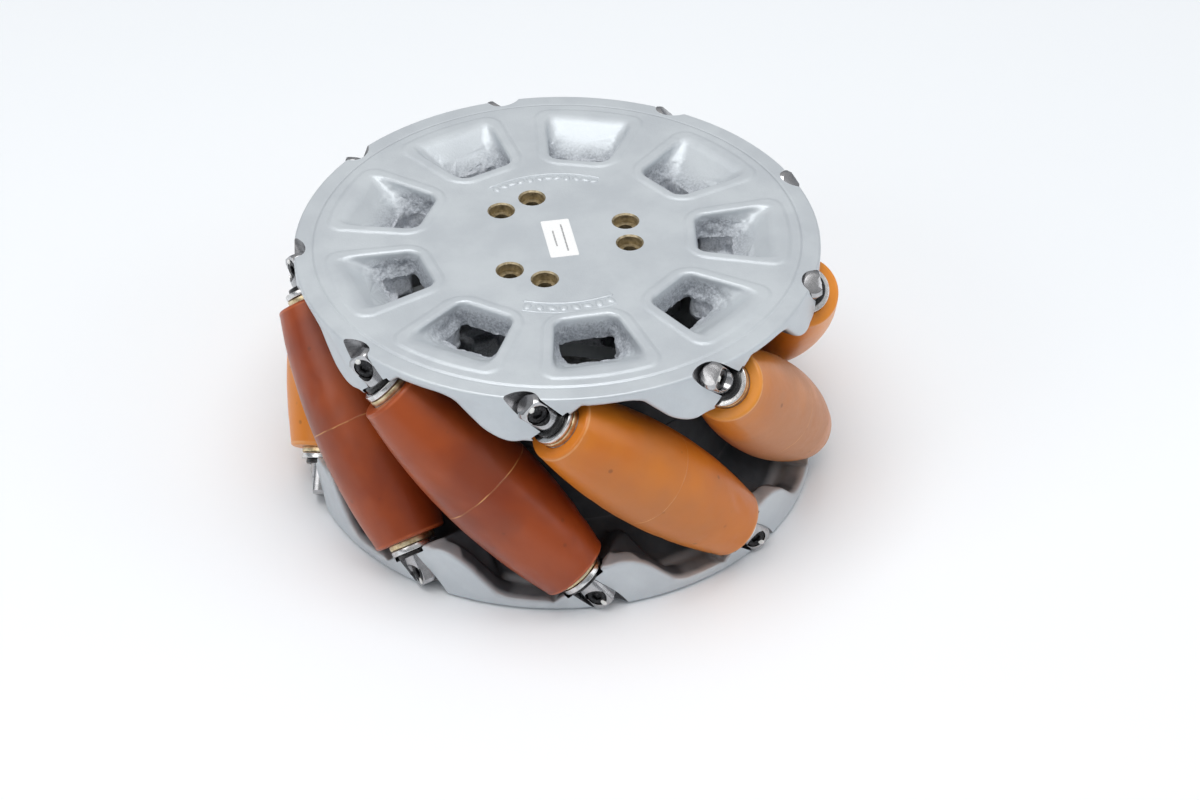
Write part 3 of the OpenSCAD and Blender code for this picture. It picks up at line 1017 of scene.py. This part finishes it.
marks = [ridge(50.0, -119.5, -72.5, 0.95, 0.85), ridge(56.6, -118.6, -73.4, 0.5, 0.6)]
marks += beads(8, r=53.3, start=-115.6, by=5.6, lean=0.5, cycle=3, size=(2.9, 1.9, 1.0))
marks += [ridge(49.6, 54.5, 117.5, 0.6, 0.75)]
marks += beads(12, r=46.4, start=114.5, by=-5.2, lean=0.7, cycle=4, size=(2.5, 1.6, 0.95))
cast_marks = joined("cast_marks", marks)
set_local(cast_marks.data)
cast_marks.data.transform(TO_OUTER)
add(cast_marks, "wheel", (), (PAINT,), angle=60)

# ---------------------------------------------------------------- rollers


def both(k):
    """The frames of roller k's two ends."""
    return [roller_frame(k), roller_frame(k) @ FLIP]


def barrel_r(z):
    return TREAD_R - ARC_R + math.sqrt(ARC_R**2 - z * z)


def tread_mesh(k):
    """Barrel tread with soft ends, slightly uneven as cast and worn urethane is."""
    flank = [(barrel_r(z), z) for z in np.linspace(-54.4, 54.4, 49)]
    low = [(BORE_R, -TREAD_HALF), (TREAD_END_R, -TREAD_HALF)]
    high = [(TREAD_END_R, TREAD_HALF), (BORE_R, TREAD_HALF)]
    recess = [(BORE_R, 47.06), (13.56, 47.06), (13.56, -47.06), (BORE_R, -47.06)]
    radii = [0.5, 1.5] + [0] * len(flank) + [1.5, 0.5, 0, 0, 0, 0]
    o = round_piece("tread", rounded([*low, *flank, *high, *recess], radii, 5), 120)
    for v in o.data.vertices:
        r = math.hypot(v.co.x, v.co.y)
        if r > 15 and abs(v.co.z) < 55.5:
            q = Vector((v.co.x, v.co.y, v.co.z)) * 0.055 + Vector((9.0 * k, 0, 0))
            dip = 0.10 * (1 + noise.noise(q)) + 0.05 * (1 + noise.noise(q * 3.1))
            fine = max(0.0, noise.noise(q * 2.0 + Vector((0, 50, 0))) - 0.42) * 1.1
            s = 1 - (dip + fine) / r
            v.co.x *= s
            v.co.y *= s
    return o


def bush_mesh():
    points = [(6.04, 39), (9, 39), (9, 57.02), (10.5, 57.02), (10.5, 59.5), (6.04, 59.5)]
    return round_piece("bush", rounded(points, [0.3, 0.4, 0, 0.25, 0.45, 0.4], 3), 72)


def core_mesh():
    low = [(9.02, -56.98), (10.5, -56.98), (10.5, -47), (13.5, -47)]
    high = [(r, -z) for r, z in reversed(low)]
    return round_piece("core", rounded(low + high, [0.3, 0.2, 0, 0.5, 0.5, 0, 0.2, 0.3], 3), 72)


def spread(name, source, frames, body, nodes, mats, angle=35):
    """Copies a finished shape to its places as one piece, and removes the first."""
    o = copies(name, source.data, frames)
    bpy.data.objects.remove(source)
    return add(o, body, nodes, mats, angle)


LOOKS = {6: OLD, 7: OLD, 8: FRONT, 9: WORN}
for k in range(1, COUNT + 1):
    body = f"roller_{k}"
    look = LOOKS.get(k, ORANGE)
    # the worn side of rollers 8 and 9 points outwards, and the others are each turned differently
    at = roller_frame(k) @ Matrix.Rotation(math.radians(0 if k > 7 else 67 * k), 4, "Z")
    spread(f"{body}_tread_cast", tread_mesh(k), [at], body, (f"{body}_tread",), (look,), 50)
    spread(f"{body}_core_tube", core_mesh(), [roller_frame(k)], body, (f"{body}_core",), (CORE,))
    spread(f"{body}_bush_pair", bush_mesh(), both(k), body, (f"{body}_bushes",), (BRONZE,))

# ---------------------------------------------------------------- axles, screws, washers, seals

UPRIGHT = Matrix.Rotation(math.radians(90), 4, "Y")  # a screw's own axis across the axle


def axle_mesh():
    """Ground axle with a milled flat and a counterbored cross hole at each end."""
    end = [(AXLE_R, AXLE_HALF - 1.5), (AXLE_R - 1.5, AXLE_HALF), (0, AXLE_HALF)]
    o = round_piece("axle", [(r, -z) for r, z in reversed(end)] + end, 96)
    for side in (1, -1):
        z0, z1 = sorted((71.0 * side, 80.0 * side))
        boolean(o, block("flat", (AXLE_FLAT_X, -8, z0), (9, 8, z1)))
        hole = round_piece("hole", [(0, -9), (2.5, -9), (2.5, -0.2), (4.7, -0.2), (4.7, 12), (0, 12)], 48)
        hole.data.transform(Matrix.Translation((0, 0, SCREW_Z * side)) @ UPRIGHT)
        boolean(o, hole)
    return bevel(o, 0.28, 2, 30)


def cap_screw(head_r, head_h, shank_r, shank_l, hex_r, depth):
    """Socket head screw, the top of its head at z 0 and its shank below."""
    tip = -head_h - shank_l
    shank = [(0, tip), (shank_r - 0.6, tip), (shank_r, tip + 0.6), (shank_r, -head_h)]
    head = [(head_r, -head_h), (head_r, 0), (0, 0)]
    o = round_piece("screw", rounded(shank + head, [0, 0, 0, 0, 0.3, 0.55, 0], 3), 48)
    floor = [(0, -depth - 0.5), (hex_r * 0.5, -depth - 0.3), (hex_r, -depth)]
    return boolean(o, round_piece("socket", floor + [(hex_r, -0.35), (hex_r + 0.7, 0.35), (0, 0.35)], 6))


def glint_dot():
    """A white drop that paints the highlight beside an axle screw, on the plane z 0."""
    crown = [(1.28, 0.0), (1.22, 0.22), (0.9, 0.42), (0.5, 0.52), (0, 0.55)]
    o = round_piece("dot", [(0, -0.3), (0.9, -0.3), *crown], 28)
    for v in o.data.vertices:
        q = noise.noise(Vector((v.co.x, v.co.y, 0)) * 0.9 + Vector((3, 7, 0)))
        v.co.x *= 1.15 + 0.35 * q
        v.co.y *= 0.9 - 0.25 * q
    return o


def ring_mesh(name, r, z0, z1, edge, n):
    """A washer or seal on the axle, with its edges rounded."""
    bore = AXLE_R + 0.05
    points = [(bore, z0), (r, z0), (r, z1), (bore, z1)]
    return round_piece(name, rounded(points, [0.2, edge, edge, 0.2], 3), n)


def fixed(name, source, frames, nodes, mat, angle=35):
    """A piece of the wheel's own body."""
    return spread(name, source, frames, "wheel", nodes, (mat,), angle)


ends = [m for k in range(1, COUNT + 1) for m in both(k)]
axle = axle_mesh()
for k in range(1, COUNT + 1):
    one = place("axle_copy", axle.data.copy())
    fixed(f"axle_{k}_ground", one, [roller_frame(k)], (f"axle_{k}",), BRIGHT, 30)
bpy.data.objects.remove(axle)
at_screw = [m @ Matrix.Translation((AXLE_FLAT_X, 0, SCREW_Z)) @ UPRIGHT for m in ends]
spun = [m @ Matrix.Rotation(0.9 * i, 4, "Z") for i, m in enumerate(at_screw)]
axle_screw = cap_screw(head_r=4.25, head_h=3.38, shank_r=2.45, shank_l=15.8, hex_r=2.3, depth=1.7)
fixed("axle_screws_black", axle_screw, spun, ("axle_screws",), BLACK, 38)
# painted highlights: a white drop beside each axle screw, towards the axle's tip
beside = [Matrix.Translation((-4.1, 0.5 * math.sin(2.3 * i), 0)) for i in range(len(at_screw))]
glint_places = [m @ beside[i] @ Matrix.Rotation(1.7 * i, 4, "Z") for i, m in enumerate(at_screw)]
fixed("painted_glints", glint_dot(), glint_places, (), GLINT_WHITE, 60)
washer = ring_mesh("washer", r=10.5, z0=59.82, z1=62.28, edge=0.35, n=80)
fixed("thrust_washers_ground", washer, ends, ("thrust_washers",), STEEL)
seal = ring_mesh("seal", r=8.3, z0=62.32, z1=64.36, edge=0.6, n=56)
fixed("shaft_seals_moulded", seal, ends, ("shaft_seals",), SEAL)

# the joint of the two rims, inside the drum
heads = [TO_INNER @ polar(30 + 60 * j, JOINT_R, 19.0) @ Matrix.Rotation(0.7 * j, 4, "Z") for j in range(6)]
rim_screw = cap_screw(head_r=5.0, head_h=5.98, shank_r=2.95, shank_l=24, hex_r=2.9, depth=3.0)
fixed("rim_screws_black", rim_screw, heads, ("rim_screws",), BLACK, 38)
pin = round_piece("pin", rounded([(0, -8), (3, -8), (3, 8), (0, 8)], [0, 0.5, 0.5, 0], 3), 40)
at_pins = [TO_OUTER @ polar(60 + 120 * j, JOINT_R) for j in range(3)]
fixed("rim_dowels_ground", pin, at_pins, ("rim_dowels",), STEEL)

# ---------------------------------------------------------------- label


def label_mesh(length=28.3, width=12.7, thick=0.2, corner=0.7):
    a, b = length / 2, width / 2
    outline = rounded([(-a, -b), (a, -b), (a, b), (-a, b)], [corner] * 4, 5)
    n = len(outline)
    layers = ((0, 1, 1), (thick - 0.06, 1, 1), (thick, 0.997, 0.993))  # height, and the size along x and y
    verts = [(x * sx, y * sy, z) for z, sx, sy in layers for x, y in outline]
    faces = [tuple(reversed(range(n))), tuple(range(2 * n, 3 * n))]
    for low in (0, n):
        pairs = [(low + i, low + (i + 1) % n) for i in range(n)]
        faces += [(i, j, j + n, i + n) for i, j in pairs]
    return clean(obj_from("label", verts, faces), 1e-5)


at_label = Matrix.Translation((0.98, -1.6, FACE + 0.005)) @ Matrix.Rotation(math.radians(-85.7), 4, "Z")
fixed("label_blank", label_mesh(), [at_label], ("hub_label",), STICKER, 30)

# ---------------------------------------------------------------- camera, studio

CAMERA_AT = (0.01828, -1.0652, 0.8051)
CAMERA_DOWN, CAMERA_TURN, CAMERA_ROLL = math.radians(38.22), math.radians(-5.8), -0.0092
CAMERA_LENS, CAMERA_SENSOR = 88.03, 36.0


def aim_camera():
    """A camera in front of the wheel, which looks down at it by 38 degrees."""
    right = Vector((1, 0, 0))
    up = Vector((0, math.sin(CAMERA_DOWN), math.cos(CAMERA_DOWN)))
    ahead = Vector((0, math.cos(CAMERA_DOWN), -math.sin(CAMERA_DOWN)))
    c, s = math.cos(CAMERA_ROLL), math.sin(CAMERA_ROLL)
    m = Matrix((right * c + up * s, up * c - right * s, -ahead)).transposed().to_4x4()
    m.translation = Vector(CAMERA_AT)
    data = bpy.data.cameras.new("camera")
    data.lens, data.sensor_width = CAMERA_LENS, CAMERA_SENSOR
    data.clip_start, data.clip_end = 0.05, 50
    cam = place("camera", data)
    cam.matrix_world = Matrix.Rotation(CAMERA_TURN, 4, "Z") @ m
    bpy.context.scene.camera = cam


def lamp(name, at, size, power, colour):
    """A rectangular lamp that points at the wheel."""
    data = bpy.data.lights.new(name, "AREA")
    data.shape, data.size, data.size_y = "RECTANGLE", *size
    data.energy, data.color = power, colour
    o = place(name, data)
    o.location = at
    o.rotation_euler = Vector(at).to_track_quat("Z", "Y").to_euler()


def paper_floor(half=6):
    """A plain white floor. Far from the wheel the paper glows, as a lit backdrop does."""
    corners = [(-half, -half, 0), (half, -half, 0), (half, half, 0), (-half, half, 0)]
    floor = obj_from("floor", corners, [(0, 1, 2, 3)])
    floor.location.z = -TOP * MM
    m = Nodes("floor_paper")
    p = m.node("ShaderNodeTexCoord", 3)
    n = m.noise(p, 1.2, 2)
    m.set(Base_Color=m.mix(n, (0.915, 0.95, 0.98), (0.935, 0.96, 0.985)))
    m.set(Roughness=m.ramp(n, 0.3, 0.7, 0.5, 0.6))
    glow = m.ramp(reach_from_axis(m, p), 0.7, 2.6, 0.0, 0.42)
    m.set(Emission_Color=(1.0, 1.0, 1.0), Emission_Strength=glow)
    floor.data.materials.append(m.mat)


def studio():
    """Soft light from all round, grey at the horizon and white above, with three lamps."""
    world = bpy.data.worlds.new("studio")
    world.use_nodes = True
    t = world.node_tree
    back = t.nodes["Background"]
    coord = t.nodes.new("ShaderNodeTexCoord")
    split = t.nodes.new("ShaderNodeSeparateXYZ")
    ramp = t.nodes.new("ShaderNodeValToRGB")
    horizon, overhead = ramp.color_ramp.elements
    horizon.position, horizon.color = 0.0, (0.50, 0.53, 0.58, 1)
    overhead.position, overhead.color = 0.9, (1.0, 1.0, 1.0, 1)
    t.links.new(coord.outputs["Generated"], split.inputs[0])
    t.links.new(split.outputs[2], ramp.inputs[0])
    t.links.new(ramp.outputs[0], back.inputs[0])
    back.inputs[1].default_value = 0.55
    bpy.context.scene.world = world
    lamp("overhead", (-0.1, -0.15, 1.7), (1.5, 1.2), 18.5, (1.0, 1.0, 1.0))
    lamp("left", (-1.3, -0.7, 0.9), (0.9, 0.9), 4, (1.0, 0.99, 0.98))
    lamp("right", (1.3, -0.5, 0.8), (0.9, 0.9), 3, (0.97, 0.98, 1.0))
    bpy.context.scene.view_settings.view_transform = "Standard"


aim_camera()
paper_floor()
studio()
